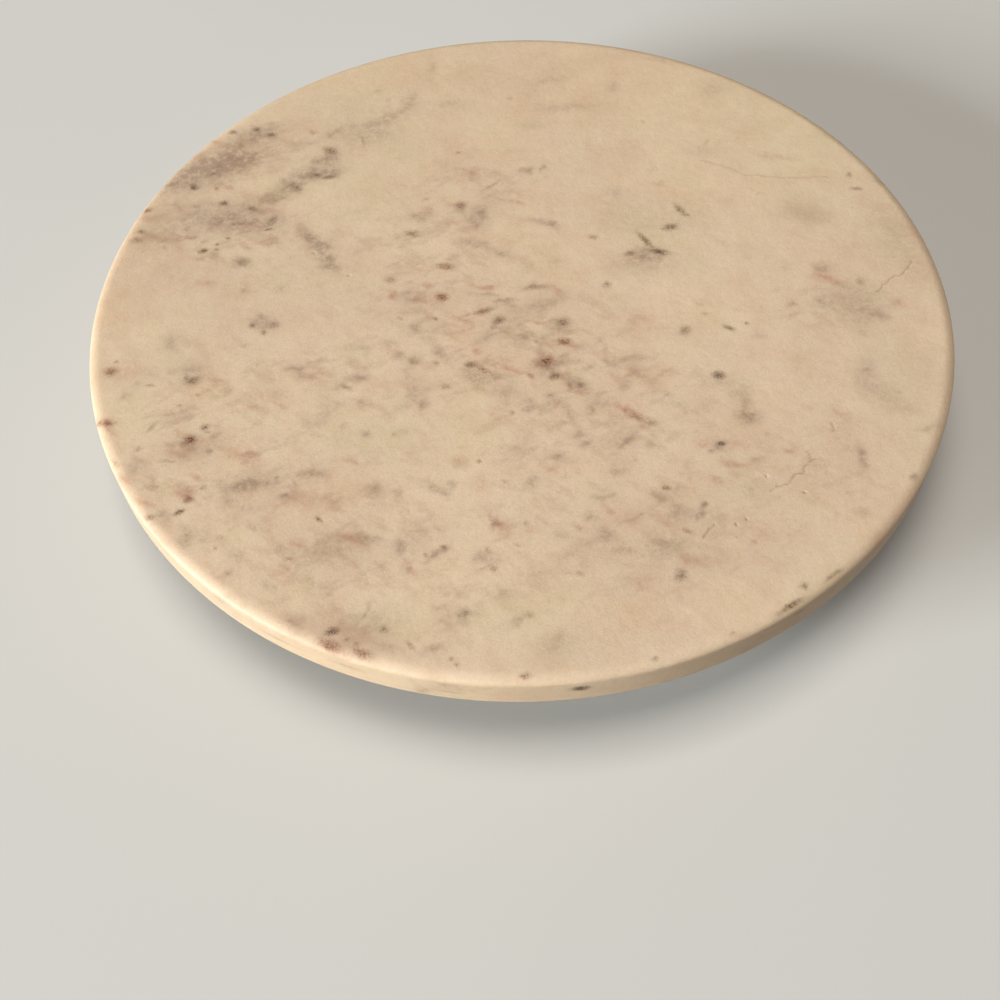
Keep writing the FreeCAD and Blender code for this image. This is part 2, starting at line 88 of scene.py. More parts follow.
GREY_CLOUDS = [
    # broad and faint
    (-62, 88, 32, 28, 10, .12), (-78, 8, 34, 16, 0, .13), (50, 38, 24, 13, 0, .2),
    (137, -37, 12, 15, 0, .12), (-5, 124, 42, 20, 0, .1), (-135, 35, 12, 22, 0, .12),
    (36, 84, 26, 20, 0, .08),
    # the dense cloud at the left rim
    (-105, 91, 9, 5, 20, .65), (-112, 85, 10, 5, 40, .45), (-112, 76, 14, 6, 10, .6),
    (-122, 71, 10, 8, 10, .75), (-131, 64, 9, 5, 30, .6), (-108, 73, 6, 4, 0, .6),
    (-110, 79, 3, 1, 10, .35), (-104, 79, 3, 1, 20, .4), (-86, 84, 9, 1.5, 20, .25),
    # the band that runs inwards from it
    (-73.5, 78, 3.5, 4, 80, .5), (-77, 74.5, 5, 2.2, -10, .6), (-73, 68, 4, 5, 80, .5),
    (-81, 67, 6, 4.5, 30, .8), (-88, 61, 6, 4, 45, .6), (-93.5, 54, 5, 3.5, 20, .65),
    (-99, 50, 3, 1.5, 60, .4), (-63, 96, 8, 1.2, 12, .35), (-56, 98, 6, 3, 20, .45),
    (-58, 90, 10, 6, 10, .35), (-49, 103, 6, 2.5, 50, .35), (-43.5, 110, 3, 7, -10, .4),
    (-73, 92, 4, 2, 35, .5),
    # the haze below it, and the flecks that trail to the centre
    (-118, 42, 22, 10, 0, .35), (-108, 44, 18, 8, -15, .33), (-97, 40, 10, 8, 0, .2),
    (-73, 24, 8, 4, -50, .4), (-80, 34.5, 3, 2, -30, .6), (-76, 30.5, 5, 2, -45, .9),
    (-73, 27.5, 2.5, 2, 0, .7), (-69, 19, 4, 2.5, -50, .55), (-67, 16.5, 2.5, 2, -30, .6),
    (-16, 42, 4, 6, -30, .5), (-12.5, 43, 2, 4, 0, .65), (-15, 36, 3, 2.5, 0, .45),
    (-37, 42, 4.5, 2.5, -10, .5), (-34, 45, 3, 1.2, -50, .4), (-19, 28.5, 5, 2, -15, .5),
    (-13, 26, 4, 1.5, -20, .45), (-7, 21.5, 5, 1.8, -30, .5), (-29, 109, 4, 1.5, 0, .3),
    (-35, 132, 1.5, 8, 0, .25), (5, 95, 6, 3, -10, .25), (-57, 118, 3, 1.5, 0, .25),
    (-86, 5.5, 2.5, 2, 0, .35), (-99.5, 5, 1.2, 2, 0, .4),
    # far right
    (8, 38, 7, 1.6, -18, .55), (13, 37, 3, 1.5, -20, .6), (38, 53, 5, 2.5, -10, .3),
    (55, 58.5, 3.5, 1.5, 0, .35), (53, 66, 1.5, 1.2, 0, .3), (46, 16, 12, 6, 0, .45),
    (47, 20, 6, 3, 0, .5), (72, 76, 8, 4, 0, .2), (104, 72, 4, 1.2, -10, .35),
    (108, 40, 9, 6, -10, .2), (93, 50.5, 3, .8, -25, .35),
    (40, 117, 3, 4, 0, .3), (82, 115, 6, 6, 0, .25), (15, 123, 8, 2, 10, .2),
    (22, 105, 14, 2.5, 5, .25), (60, 135, 8, 1.5, -20, .35), (141, 25, 8, 22, 10, .25),
    (138, 57, 2, 2, 0, .4), (77, 25.5, 2.5, .7, -35, .3), (84, 16.5, 1, 1, 0, .3),
    (15, 17.5, 2, 1.5, 0, .3), (4, 15, 2.5, 2, 0, .3),
    # right of the centre and towards the near edge
    (5, -5, 12, 4, 25, .45), (-6, -17, 9, 3, 25, .35), (14, -16, 4, 2.5, 0, .45),
    (22, -24, 2.5, 2, 0, .4), (4, -19, 2, 2, 0, .35), (7, -33, 4, 2.5, 0, .5),
    (18, -40, 4, 2, -15, .6), (16.5, -52.5, 1, 2, 0, .5), (27.5, -50, 4, 1.8, -25, .5),
    (57, -20, 3, 2, 0, .3), (64, -5, 2, 1, 0, .3), (84, -21, 3, 1.5, -30, .3),
    (96, -11.5, 1, 1.2, 0, .5), (41, -37, 6, 2, -55, .45), (68, -41, 3, 2.5, 0, .5),
    (74, -46, 3, 5, 20, .35), (108, -4, 2, 3, -10, .5), (118, -6, 12, 10, 0, .4),
    (126, -12, 5, 2.5, 20, .4), (118.5, -20, 2, 1.5, 0, .35), (117, -38, 3.5, 7, -15, .35),
    (120, -47, 6, 4, 0, .3), (125, -53, 6, 3, -20, .3), (52, -100, 28, 15, 20, .12),
    (49, -93, 3, 2.5, 0, .5), (44, -107, 5, 4, 0, .45), (54, -108, 18, 12, 0, .1),
    (22, -95.5, 3.5, 1.8, -25, .45), (26.5, -102, 3, 2.5, -20, .4), (3.5, -82, 2.5, 2.5, -30, .55),
    (11, -138, 1.5, 2.5, 0, .35), (10, -141, 6, 4, 0, .25), (133, -62, 3, 1, 5, .5),
    (103, -88, 2, 1, 0, .3), (107, -95, 2.5, 2, 0, .35), (75, -56, 3, 3.5, 0, .75),
    # left of the centre and towards the near edge
    (-90, -11, 4, 4, -30, .65), (-121, -20, 2.5, 5, 15, .4), (-113, -32.5, 4, 2.5, 0, .5),
    (-131, -39, 2, 1.5, 0, .35), (-113, -63.5, 3, 1, 10, .6), (-107, -66, 10, 7, 0, .35),
    (-89, -81.5, 8, 2.2, 3, .7), (-88, -80, 10, 4, 0, .35), (-88, -90, 2, .7, -25, .6),
    (-124, -73, 4, 4, 0, .35), (-115, -92, 3, 2, 0, .4), (-105, -101, 3, 4, 0, .5),
    (-88, -107.5, 3, 2, -30, .4), (-75, -106, 1.8, 1, -10, .45), (-77, -119, 3, 1.5, -30, .5),
    (-60, -107, 14, 8, 0, .3), (-68, -131.5, 4, 2, -10, .5), (-50, -134, 14, 7, -10, .35),
    (-41, -140.5, 3, 1, 0, .5), (-20, -132, 4, 2.5, 0, .3), (-34, -122.5, 1.2, 1, 0, .45),
    (-6, -123, 3, 2.5, 0, .3), (-48, -102, 4.5, 2, -15, .6), (-37, -105, 3.5, 3, 0, .6),
    (-31, -99.5, 6, 1, 5, .35), (-12, -109.5, 2.5, 2, -20, .45), (-26.5, -83.5, 4, 1.4, -40, .75),
    (-22, -81.5, 1.8, 1.2, 40, .55), (-47, -83.5, 2.5, 2.5, 0, .45), (-39, -86, 3, 1.5, -40, .35),
    (-52.5, -47.5, 4, 1, -20, .55), (-41.5, -28, 2.5, 1.6, -50, .65), (-38, -34, 2, 5, -20, .35),
    (-36, -43, 4, 6, 0, .4), (-33, -49.5, 2, 1.5, 0, .5), (-55, -23, 3, 1.5, 0, .35),
    (-45, -21, 4, 1.5, -10, .35), (-31, -21, 3, 2, -40, .35), (-28, -26, 2, 3, 0, .4),
    (-5, -44, 4, 3, -30, .45), (-41, -61, 1.2, 1.2, 0, .45), (-38, -60, 2, 1.5, 0, .4),
    (-58, -57.5, 1, 1.8, 0, .5), (-57.5, -64, 1, .8, 0, .4),
]

DARK_SPECKS = [
    # in the cloud at the left rim
    (-98.5, 91.5, 2.2, 1.6, -30, .9), (-105, 95, 1.8, 1.5, 0, .8), (-114.5, 93.5, 1.8, 1.4, 0, .9),
    (-125.5, 61, 2.2, 1.6, -40, 1), (-119.5, 68.5, 1.8, 1.2, 30, .7), (-117, 73, 1.5, .8, -50, .6),
    (-134.5, 63, 2, 1.2, 0, .6), (-74, 81, 3.2, 2.5, -20, .8), (-73, 65.5, 3.5, 1.5, 10, .8),
    (-78, 66.5, 3, 1.5, -20, .8), (-85.5, 59.5, 4, 1.6, -50, .75), (-91, 63.5, 3, 1.5, -60, .5),
    (-61.5, 86.5, 4, .6, -70, .6), (-52.5, 112, 1.2, 1.5, 0, .5), (-112.5, 51.5, 2, 1.5, -20, 1),
    (-123, 50, 2.5, 1.5, -30, .5), (-101, 48, 2.5, 1.5, -45, .8), (-93, 41, 2, 3.5, -20, .7),
    (-107, 40, 2.5, .8, 0, .6), (-104.5, 40, 1, .8, 0, .7), (-122, 33, 2, 1, 0, .7),
    (-108.7, 32.3, .8, .8, 0, 1), (-112.3, 29.5, .7, .7, 0, 1), (-112, 26.5, .9, .7, 0, 1),
    (-117, 25.7, 1.8, 1.4, 0, 1.1), (-113, 24, 3, 2, -30, .5), (-102, 19.5, 4, 3, -10, .75),
    (-90, 31.5, 1.5, 1, -30, .4), (-39.5, 33, 3, 2, -10, .75), (-21.5, 48, 2.5, 2.3, 0, .8),
    (-46.5, 9, 2.2, 2, 0, .65), (-2.5, 111.5, 1.5, 1.3, 0, .5),
    # far right
    (28, 29.5, 2.3, 1.5, -15, .7), (61.5, 43.5, 4, 1.5, -60, .85), (63.5, 40.5, 2, 1, -10, .8),
    (57.5, 34, 3, 1.8, 20, 1), (54.5, 33, 1.5, 1, 0, .6), (47.5, 27, 5.5, 1.3, -57, .95),
    (52, 21, 4, 1.7, -12, 1.05), (41, 20.5, 2.2, 1.5, 0, .75), (32, 5, 1.8, 1.8, 0, .75),
    (8, 4.2, 3.5, 1.5, 0, .65), (51, 95, 1.2, 1.5, 0, .45), (75.5, 81.5, 2.5, 1, 55, .45),
    (128, 61, 1.2, 1.7, -20, .75), (129.5, 53, 2.5, 1.2, -5, .7), (122.5, 4, 1.5, 3, 0, .5),
    # right of the centre
    (15.5, -13, 2.8, 2.2, 0, .85), (12, -38, 2.3, 1.6, 0, .85), (20.5, -42, 1.5, 1.3, 0, .6),
    (10.5, -46, 2.5, 1.6, 10, .6), (17, -56, 1.2, 1.2, 0, .5), (43.5, -58.5, 2.5, 1.8, 0, .6),
    (58, -17.5, 2, 2.2, -10, .8), (65.5, -10, 1.8, 1, 0, .5), (73.5, -17, 2.2, 1.1, -35, 1),
    (79.5, -15, 1, 1, 0, .7), (67.5, -38.5, 2.3, 1.8, 0, 1), (62, -70.5, 1.5, 1, 0, .7),
    (65.3, -67.4, 1.5, .7, -5, 1.4), (12.5, -85, 1, 1, 0, .35), (118, -37, 1.5, .8, 0, .5),
    (127, -47.3, 1.2, .6, 0, .6), (57.5, -91, 1.5, 1.2, 0, .7), (48, -117, 2.2, 2.5, 0, .8),
    (1.5, -97.5, 1, 1, 0, .6), (32, -113, 1, .8, 0, .5), (14, -115.5, 1.5, 1.2, 0, .4),
    (74, -111, 2, 1, 0, .3), (2, -130, 1.2, 1.2, 0, .6), (84.5, -121, 1.5, 1.5, 0, .8),
    (80, -128, 5, 1, 30, 1.1), (94, -117.5, 4, .8, 35, .8), (61.5, -137, 1, .8, 0, .9),
    (38, -145, 1.2, 1, 0, .8), (0, -150, 1, 1, 0, .7), (125, -82, 1.5, 1.5, 0, .8),
    # left of the centre
    (-94.5, -12.3, 1.2, 1.2, 0, .8), (-90, -15.5, 1.3, 1, 0, .85), (-86.5, -12, 2.5, 1.8, -20, .6),
    (-92, -7.5, 2, 1.5, -40, .5), (-96, -21.5, 1.5, 1.2, 0, .5), (-112, -37, 3, 2, 15, .85),
    (-140, -28, .8, .8, 0, .8), (-105, -57.5, 1.6, 1.3, 0, .9), (-103.5, -59.5, 1, 1, 0, .6),
    (-102, -67.5, 1.6, 1.2, 0, .7), (-78.5, -78.5, .8, .8, 0, .6), (-102, -82, 1.2, 1, 0, .7),
    (-126, -66, 1.5, 1, 0, .5), (-117.5, -93, 1.5, 1.2, 0, .8), (-108.3, -91.3, 1.7, 1, 25, 1.1),
    (-56.5, -134.7, 2.2, 1.4, 10, 1.1), (-41, -134.5, 1.6, 1.2, 0, .8), (-52, -137.5, .8, .8, 0, .8),
    (-49, -138.8, .8, .8, 0, .8), (-17, -129, 1.2, 1.2, 0, .7), (-21, -144.5, 1.2, .8, 0, .7),
    (-19.5, -146, 1, .8, 0, .6), (-17, -32, 1.8, 1.2, 0, .95), (-25, -41.5, 2.3, 1.5, 0, .7),
    (-7, -11.5, 2.5, 1.8, 20, .9),
]

RUST_SPOTS = [
    (-141.5, 48.5, 1.6, 1.4, 0, .9), (-142, 36.5, 1.5, 1.2, 0, .8), (-143, 32, 3, 2, 0, .7),
    (-26.5, 15.5, 3.5, 1.8, -5, .8), (-27.5, .3, 2.5, 2, 0, 1), (15.5, -22, 3, 1.6, -5, .95),
    (9.5, -31, 2.5, 2, 0, 1.05), (19, -31.5, 4, 1.5, 0, .45), (39, -56, 4, 2.2, -35, .65),
    (77, -8.5, 2.5, 2, 0, .3), (32.5, -33, 2, 2, 0, .35), (75.5, -50, 2, 4, -5, .45),
    (32, -108, 5, 2, 5, .4), (-141, -32.5, 2.5, 2.2, 0, .9), (-139, -55, 3.5, 1.2, 0, .9),
    (-109, -62.5, 2.3, 2.2, 20, 1.05), (-106.5, -86.5, 1.5, 1.6, 0, 1), (-107, -83, 2.5, 2.5, 0, .5),
    (-118.5, -81.5, 3, 1.5, -15, .5), (-65, -117, 1.8, 1.8, 0, .5), (-57, -139, 4, 1.8, -25, .9),
    (.5, -150, 1.9, 1.2, 0, .85),
    (-47, -142, 4, 1.5, -25, .8), (-59, -41, 3, 1.2, -40, .65), (-12, -34.5, 5, 1.6, -35, .7),
    (-14, -38, 8, 5, -20, .45), (-13, -7, 4, 1.2, 20, .75), (-18, -8.5, 3, .8, 25, .5),
    (-5, -2, 5, 1.2, 5, .6), (-10, 1, 6, 1, -10, .45),
]

PINK_CLOUDS = [
    (-134, 33, 7, 1.5, 5, .5), (-127, 32, 5, 1, -50, .45), (-125, 25, 7, 2.5, -55, .35),
    (-140, 44, 5, 2, -20, .5), (-136, 45, 4, 1.5, 10, .4), (-114, 8.5, 3.5, 1.8, -10, .65),
    (-18, 66, 12, 2, -5, .3), (-21, 62, 1.5, 7, 0, .3), (-33, 14, 5, 1, 5, .4),
    (-33, -1, 7, 3.5, -5, .55), (34, 42.5, 3, 1.2, 0, .3), (98, 73, 4, 2.5, -20, .35),
    (44, -14, 7, 3.5, -30, .35), (60, -67, 4, 3.5, -20, .6), (32, -75, 5, 9, 0, .25),
    (105, -67, 6, 9, 0, .3), (93, -80, 9, 7, 0, .25), (20, -105, 4, 5, 0, .3),
    (75, -102, 5, 4, 0, .4), (-135, -34, 7, 5, 0, .35), (-93, -68, 8, 2.8, -30, .5),
    (-87, -71, 4, 2, -20, .45), (-58, -123, 5, 1.8, 0, .3), (-12.5, -82, 3, 3, 0, .35),
    (-70, -36, 8, 4, -15, .4), (-77, -34, 3, 2, 0, .3), (-47, -50, 6, 2, -45, .3),
    (-85, -45, 6, 2, -10, .3), (-72, -88, 18, 4, 3, .3), (-7, -55, 5, 4, 0, .3),
    (-50, -138, 14, 5, -15, .4), (108, 40, 9, 6, -10, .3), (0, -20, 40, 26, -20, .1),
]

# Where small flecks gather.
FLECK_ZONES = [
    (-5, -18, 50, 32, -20, .6), (-30, 25, 32, 26, 0, .45), (22, -42, 38, 26, -30, .6),
    (-112, 38, 34, 20, 0, .7), (-112, -60, 32, 36, 0, .6), (-50, -118, 60, 26, -10, .5),
    (45, -105, 35, 24, 0, .4), (112, -5, 25, 18, 0, .4), (-62, -42, 36, 18, -20, .45),
    (-15, 62, 30, 18, 0, .45), (98, -75, 32, 24, 0, .25), (-105, 80, 30, 18, 30, .5),
    (20, -76, 60, 16, 0, .4), (-25, -100, 40, 16, 0, .4), (-80, -75, 36, 14, -15, .35),
]

# Strokes too many to place one by one, drawn at random over the fleck zones: how many, then
# their turn in degrees, half length and half width in mm, and strength, each with its spread.
STROKE_SEED = 7
ZONE_REACH = .95  # how far out towards the edge of its zone a stroke may lie
LEAST_STROKE = (.9, .7, .1)  # half length, half width, strength
PINK_STROKES = (150, (-32, 16), (2.9, 1.2), (1.15, .3), (.5, .2))
GREY_STROKES = (130, (25, 35), (2.4, 1.0), (1.3, .4), (.45, .15))
CORE_STROKES = (45, (-30, 20), (1.3, .4), (.8, .15), (.6, .2))

# Broad, faint changes of hue.
SAGE_ZONES = [
    (108, 88, 34, 55, 35, .9), (-75, 112, 40, 20, 30, .5), (-125, -30, 24, 40, 0, .5),
    (5, -135, 25, 16, 0, .6), (-60, 60, 30, 25, 0, .4), (-50, -60, 35, 16, 0, .5),
]
BUFF_ZONES = [
    (35, 125, 60, 24, 0, .9), (-55, 132, 22, 12, 0, .8), (-12, 72, 22, 22, 0, .6),
    (-148, 20, 12, 30, 0, .7), (-60, -85, 26, 12, 0, .2), (5, 30, 25, 22, 0, .4),
]
MAUVE_ZONES = [
    (55, -105, 50, 35, 20, .5), (95, -80, 35, 30, 0, .5), (20, -30, 50, 30, -20, .3),
    (-30, 5, 30, 26, 0, .5), (-85, -85, 40, 25, 0, .2), (-10, 50, 26, 22, 0, .4),
    # the three zones on the next line darken the upper face broadly near its right and left rims
    (120, -40, 24, 60, 10, .8), (-125, 0, 26, 60, 0, .7), (120, 40, 22, 40, 0, .5),
]

# Fine open cracks, as lines of points, and pits: x, y. They are this deep and half wide, in mm.
CRACK_SIZE, PIT_SIZE = (.22, .32), (.3, .45)
CRACKS = [
    [(143, 14), (139, 8), (135, 6.5), (131, 3), (128, -1)],
    [(102.5, -59.5), (102.5, -63)],
    [(96, -74), (93, -75), (91, -77), (90.5, -79.5), (87.5, -80), (86, -83), (82, -84.5), (79, -86)],
    [(56, -103.5), (60, -98.5)],
]
PITS = [(78.5, -80.5), (89.5, -87), (67, -98.7), (70.5, -97), (-75.5, 24), (-62, 12)]

# A closed hairline vein.
HAIRLINES = [[(72, 71), (83, 66), (88, 62), (105, 60), (120, 60)]]

# How the marks carry on over the rim, in mm below the upper face
LEAN = (.6, -.24)  # how far they shift in x and y per mm of depth
FADE_DEPTH = 6
KNOWN_FADE, KNOWN_DEPTH = 3, 2.2  # where marks of noise alone come in, and take over
SIDE_SHADE_STARTS, SIDE_SHADE_GROWS = .6, 3  # where the painted shade on the rim's side starts, and how fast

# Where the upper face's mesh is made finer
MARK_SHOWS = .15  # at marks at least this strong
DAMAGE_REACH = 1.6  # within this many mm of a crack or pit

# Marks on the rim: azimuth in degrees, depth below the upper face, half length, half height,
# strength. They start outside RIM_RADIUS.
RIM_RADIUS = 149
RIM_SPOTS = [
    (276.2, 5.2, 3, 1.4, 1.5), (262, 8, 5, .9, .6), (250, 6, 7, .9, .6), (241, 7, 9, .9, .5),
    (285, 5, 6, .6, .5), (303, 4, 3, 1.2, .6), (235, 9, 5, 1, .4), (215, 5, 3, 1, .5),
    (330, 6, 4, 1, .5), (198, 4, 2, 1.2, .7), (60, 6, 5, 1.5, .6), (110, 7, 4, 1, .6),
    (150, 5, 9, 3, .6), (20, 8, 3, 1, .5),
]


# ---------------------------------------------------------------- meshes


class Form:
    """Vertices and faces being collected for one mesh."""

    def __init__(self):
        self.vertices = []
        self.faces = []

    def ring(self, points):
        """Adds the points and returns their numbers."""
        first = len(self.vertices)
        self.vertices.extend(points)
        return list(range(first, len(self.vertices)))

    def strip(self, upper, lower):
        """Joins two closed rings of equal length with quads that face outwards."""
        for here in range(len(upper)):
            after = (here + 1) % len(upper)
            self.faces.append((upper[here], lower[here], lower[after], upper[after]))

    def rows(self, rings):
        for upper, lower in zip(rings, rings[1:]):
            self.strip(upper, lower)

    def flat(self, loops, facing_up):
        """Fills between an outer ring and any rings inside it, all at one height."""
        numbers = [number for loop in loops for number in loop]
        outlines = [[Vector(self.vertices[number]) for number in loop] for loop in loops]
        for corners in geometry.tessellate_polygon(outlines):
            face = [numbers[corner] for corner in corners]
            a, b, c = (Vector(self.vertices[number]) for number in face)
            if ((b - a).cross(c - a).z > 0) != facing_up:
                face.reverse()
            self.faces.append(tuple(face))

    def mesh(self, name):
        mesh = bpy.data.meshes.new(name)
        mesh.from_pydata([tuple(point) for point in self.vertices], [], self.faces)
        mesh.validate()
        return mesh


def circle(radius, height, sides, centre=(0, 0)):
    """Points of a level circle, the first on +X, counted anticlockwise from above."""
    turns = [2 * math.pi * side / sides for side in range(sides)]
    return [(centre[0] + radius * math.cos(turn), centre[1] + radius * math.sin(turn), height)
            for turn in turns]


def on_disc(across, along):
    """The concentric map from the square -1..1 to the unit disc, which keeps cells even."""
    if across == 0 and along == 0:
        return 0, 0
    if abs(across) > abs(along):
        radius, turn = across, math.pi / 4 * along / across
    else:
        radius, turn = along, math.pi / 2 - math.pi / 4 * across / along
    return radius * math.cos(turn), radius * math.sin(turn)


def grid_face(form, radius, height, cells):
    """A flat round face of even cells. Returns its outer ring, the first point on +X."""
    first = len(form.vertices)
    steps = [2 * step / cells - 1 for step in range(cells + 1)]
    for along in steps:
        for across in steps:
            x, y = on_disc(across, along)
            form.vertices.append((radius * x, radius * y, height))
    row = cells + 1
    for line in range(cells):
        for cell in range(cells):
            corner = first + line * row + cell
            form.faces.append((corner, corner + 1, corner + row + 1, corner + row))
    edge = [first + line * row + cell for line in range(row) for cell in range(row)
            if line in (0, cells) or cell in (0, cells)]
    return sorted(edge, key=lambda number: azimuth(form.vertices[number]))


def azimuth(point):
    """Degrees anticlockwise from +X, with the rounding error at +X taken off."""
    return round(math.degrees(math.atan2(point[1], point[0])), 6) % 360


def rim_profile(radius, low, high, over, under):
    """(radius, height) down a rounded rim, after the edge of the flat upper face."""
    over_rows, side_rows, under_rows = 9, 8, 4
    rows = []
    for step in range(1, over_rows + 1):
        turn = math.pi / 2 * step / over_rows
        rows.append((radius - over[0] * (1 - math.sin(turn)), high - over[1] * (1 - math.cos(turn))))
    side_top, side_end = high - over[1], low + under[1]
    for step in range(1, side_rows):
        rows.append((radius, side_top + (side_end - side_top) * step / side_rows))
    for step in range(under_rows + 1):
        turn = math.pi / 2 * step / under_rows
        rows.append((radius - under[0] * (1 - math.cos(turn)), low + under[1] * (1 - math.sin(turn))))
    return rows


def stone_disc(name, node, over, cells, hole_radius, hole_depth):
    """A marble slab inside the CAD node's box: a fine upper face, a rounded rim and holes."""
    low_corner, high_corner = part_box(node)
    radius = min(*high_corner.xy, *-low_corner.xy) - SKIN
    low, high = low_corner.z + SKIN, high_corner.z - SKIN
    form = Form()
    through = hole_depth is None
    if through:
        upper_edge = form.ring(circle(radius - over[0], high, 4 * cells))
    else:
        upper_edge = grid_face(form, radius - over[0], high, cells)
    profile = rim_profile(radius, low, high, over, UNDER_ARRIS)
    rings = [form.ring(circle(r, z, len(upper_edge))) for r, z in profile]
    form.rows([upper_edge] + rings)

    lower_loops, upper_loops = [rings[-1]], [upper_edge]
    for sign_x, sign_y in ((-1, -1), (1, -1), (1, 1), (-1, 1)):
        centre = (sign_x * HOLE_OFFSET, sign_y * HOLE_OFFSET)
        end = high if through else low + hole_depth
        mouth = form.ring(circle(hole_radius, low, HOLE_SIDES, centre))
        inner = form.ring(circle(hole_radius, end, HOLE_SIDES, centre))
        form.strip(mouth, inner)
        lower_loops.append(mouth)
        if through:
            upper_loops.append(inner)
        else:
            form.flat([inner], facing_up=False)
    form.flat(lower_loops, facing_up=False)
    if through:
        form.flat(upper_loops, facing_up=True)
    return form.mesh(name)


def object_from(mesh, material, sharp_angle=40):
    """A smooth-shaded object with one material, creased where faces meet sharply."""
    for polygon in mesh.polygons:
        polygon.use_smooth = True
    mesh.set_sharp_from_angle(angle=math.radians(sharp_angle))
    piece = bpy.data.objects.new(mesh.name, mesh)
    bpy.context.scene.collection.objects.link(piece)
    piece.data.materials.append(material)
    return piece


def coordinates(mesh):
    flat = np.empty(len(mesh.vertices) * 3)
    mesh.vertices.foreach_get("co", flat)
    return flat.reshape(-1, 3)


def store(mesh, name, values):
    layer = mesh.attributes.new(name, "FLOAT", "POINT")
    layer.data.foreach_set("value", np.asarray(values, np.float32))


# ---------------------------------------------------------------- painting the marks

# Where in one field of noise each axis looks, far apart
NOISE_APART = (Vector((0, 0, 0)), Vector((57.3, 12.7, 4.1)), Vector((-23.9, 71.3, 8.6)))


def wandering(points, sizes):
    """How far each point's marks are pushed aside in mm. Sizes are (period, push) in mm."""
    push = np.zeros((len(points), 3))
    for period, amount in sizes:
        for axis, apart in enumerate(NOISE_APART):
            push[:, axis] += [amount * noise.noise(Vector(point) / period + apart)
                              for point in points]
    return push


def spread(x, y, mark):
    """Distance from a mark's centre, as a share of its half length and half width."""
    centre_x, centre_y, half_long, half_wide, turn, _ = mark
    cos, sin = math.cos(math.radians(turn)), math.sin(math.radians(turn))
    along = ((x - centre_x) * cos + (y - centre_y) * sin) / half_long
    across = ((y - centre_y) * cos - (x - centre_x) * sin) / half_wide
    return np.hypot(along, across)


def clouds(x, y, marks):
    """Soft marks that build up where they overlap."""
    clear = np.ones(len(x))
    for mark in marks:
        clear *= 1 - np.minimum(mark[5], 1) * np.exp(-spread(x, y, mark) ** 2)
    return 1 - clear


def spots(x, y, marks):
    """Small marks that fade quickly, the strongest winning."""
    value = np.zeros(len(x))
    for mark in marks:
        value = np.maximum(value, mark[5] * np.exp(-.8 * spread(x, y, mark) ** 2))
    return value


def strokes(draw, count, turn, half_long, half_wide, strength):
    """Short strokes scattered over the fleck zones, as marks. Each pair is a mean and a spread."""
    weights = [zone[2] * zone[3] * zone[5] for zone in FLECK_ZONES]
    marks = []
    for zone in draw.choices(FLECK_ZONES, weights, k=count):
        away, around = ZONE_REACH * math.sqrt(draw.random()), draw.uniform(0, 2 * math.pi)
        along, across = zone[2] * away * math.cos(around), zone[3] * away * math.sin(around)
        cos, sin = math.cos(math.radians(zone[4])), math.sin(math.radians(zone[4]))
        x, y = zone[0] + along * cos - across * sin, zone[1] + along * sin + across * cos
        long, wide, angle, dark = (draw.gauss(*pair)
                                   for pair in (half_long, half_wide, turn, strength))
        least_long, least_wide, least_dark = LEAST_STROKE
        marks.append((x, y, max(long, least_long), max(wide, least_wide), angle,
                      min(max(dark, least_dark), 1)))
    return marks


def all_strokes():
    """The pink, the grey and the core strokes, the same at every call."""
    draw = random.Random(STROKE_SEED)
    return [strokes(draw, *kind) for kind in (PINK_STROKES, GREY_STROKES, CORE_STROKES)]


def to_line(x, y, line):
    """Distance in mm from each point to a line of points."""
    nearest = np.full(len(x), np.inf)
    for (x0, y0), (x1, y1) in zip(line, line[1:]):
        run = np.array([x1 - x0, y1 - y0])
        share = np.clip(((x - x0) * run[0] + (y - y0) * run[1]) / (run @ run), 0, 1)
        nearest = np.minimum(nearest, np.hypot(x - x0 - share * run[0], y - y0 - share * run[1]))
    return nearest


def to_lines(x, y, lines):
    return np.min([to_line(x, y, line) for line in lines], axis=0)


def to_pits(x, y):
    return np.min([np.hypot(x - pit[0], y - pit[1]) for pit in PITS], axis=0)


def refine(mesh, needed):
    """Cuts each cell of the mesh in four where needed(x, y) in mm is true at its centre."""
    form = bmesh.new()
    form.from_mesh(mesh)
    top = max(vertex.co.z for vertex in form.verts)
    flat = [face for face in form.faces
            if all(vertex.co.z > top - SKIN for vertex in face.verts) and len(face.verts) == 4]
    centres = np.array([face.calc_center_median()[:] for face in flat]) / MM
    chosen = [flat[number] for number in np.nonzero(needed(centres[:, 0], centres[:, 1]))[0]]
    edges = list({edge for face in chosen for edge in face.edges})
    bmesh.ops.subdivide_edges(form, edges=edges, cuts=1, use_grid_fill=True)
    form.to_mesh(mesh)
    form.free()


def near_marks(x, y):
    pink, grey, core = all_strokes()
    return spots(x, y, DARK_SPECKS + RUST_SPOTS + pink + grey + core) > MARK_SHOWS


def near_damage(x, y):
    return np.minimum(to_lines(x, y, CRACKS + HAIRLINES), to_pits(x, y)) < DAMAGE_REACH


def rim_marks(points, depth):
    """Strength of the rim's own spots at each point, all in mm."""
    turn = np.degrees(np.arctan2(points[:, 1], points[:, 0])) % 360
    radius = np.hypot(points[:, 0], points[:, 1])
    value = np.zeros(len(points))
    for at, down, half_long, half_high, strength in RIM_SPOTS:
        round_rim = np.radians((turn - at + 180) % 360 - 180) * radius
        away = np.hypot(round_rim / half_long, (depth - down) / half_high)
        value = np.maximum(value, strength * np.exp(-away ** 2))
    return value * (radius > RIM_RADIUS)


def pushed(points, depth, sizes):
    """Where on the plan of the marks each point looks: wandering a little, and leaning."""
    push = wandering(points, sizes)
    return (points[:, 0] + push[:, 0] + LEAN[0] * depth,
            points[:, 1] + push[:, 1] + LEAN[1] * depth)


